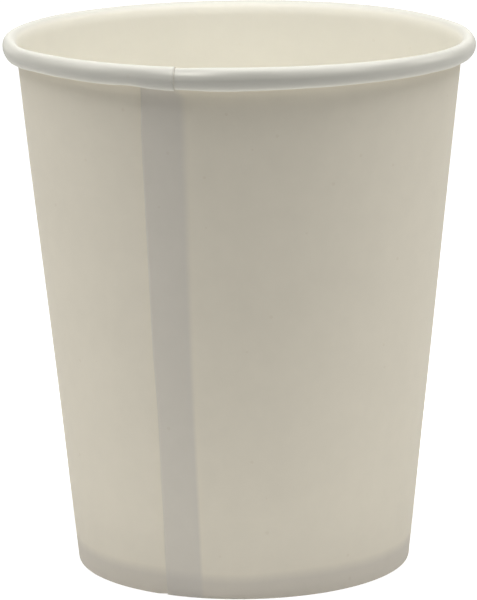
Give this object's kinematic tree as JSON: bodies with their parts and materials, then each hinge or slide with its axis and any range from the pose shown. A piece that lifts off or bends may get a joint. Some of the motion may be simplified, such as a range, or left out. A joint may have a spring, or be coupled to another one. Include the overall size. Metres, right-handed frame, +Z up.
{
  "type": "paper coffee cup",
  "caption": "Single-wall paper cup: a tapered side wall with a glued lap, a rolled rim and a hem that clamps a recessed base.",
  "frame": {"origin": "centre of the foot, on the surface that the cup stands on", "axes": "+Z up along the cup's axis; -Y through the inner layer's edge in the side seam, with the glued overlap on its -X side"},
  "size_m": [0.08, 0.08, 0.091],
  "materials": {
    "sidewall_board": "uncoated white board outside, thin clear lining inside",
    "base_board": "thin clear lining on the inside face"
  },
  "bodies": {
    "root": {"sidewall": "sidewall_board", "base_disc": "base_board"}
  },
  "joints": []
}
